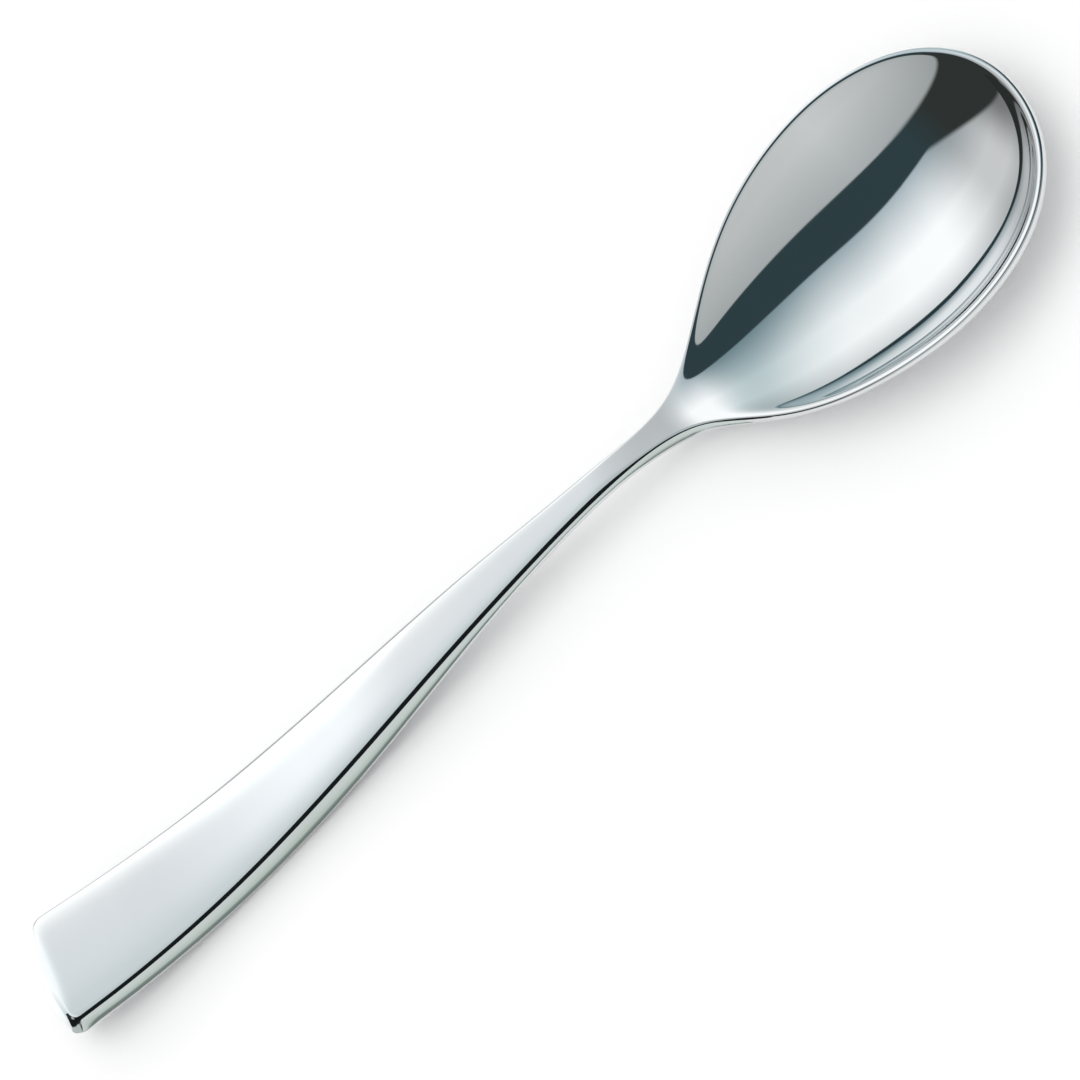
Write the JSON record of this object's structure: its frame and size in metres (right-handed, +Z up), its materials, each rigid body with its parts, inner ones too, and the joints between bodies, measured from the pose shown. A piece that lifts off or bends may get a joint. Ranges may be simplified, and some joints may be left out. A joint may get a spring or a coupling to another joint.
{
  "type": "teaspoon",
  "caption": "Mirror-polished teaspoon: dished egg-shaped bowl, slim neck and a handle that flares to a wide, squared-off end; for stirring and spooning.",
  "frame": {"origin": "on the table, below the middle of the length and on the spoon's plane of symmetry", "axes": "+X along the spoon from the handle's end to the bowl's tip, +Y across it, +Z up out of the open bowl"},
  "size_m": [0.143, 0.0302, 0.0075],
  "materials": {
    "polished_steel": "mirror-polished stainless steel"
  },
  "bodies": {
    "root": {"spoon": "polished_steel"}
  },
  "joints": []
}
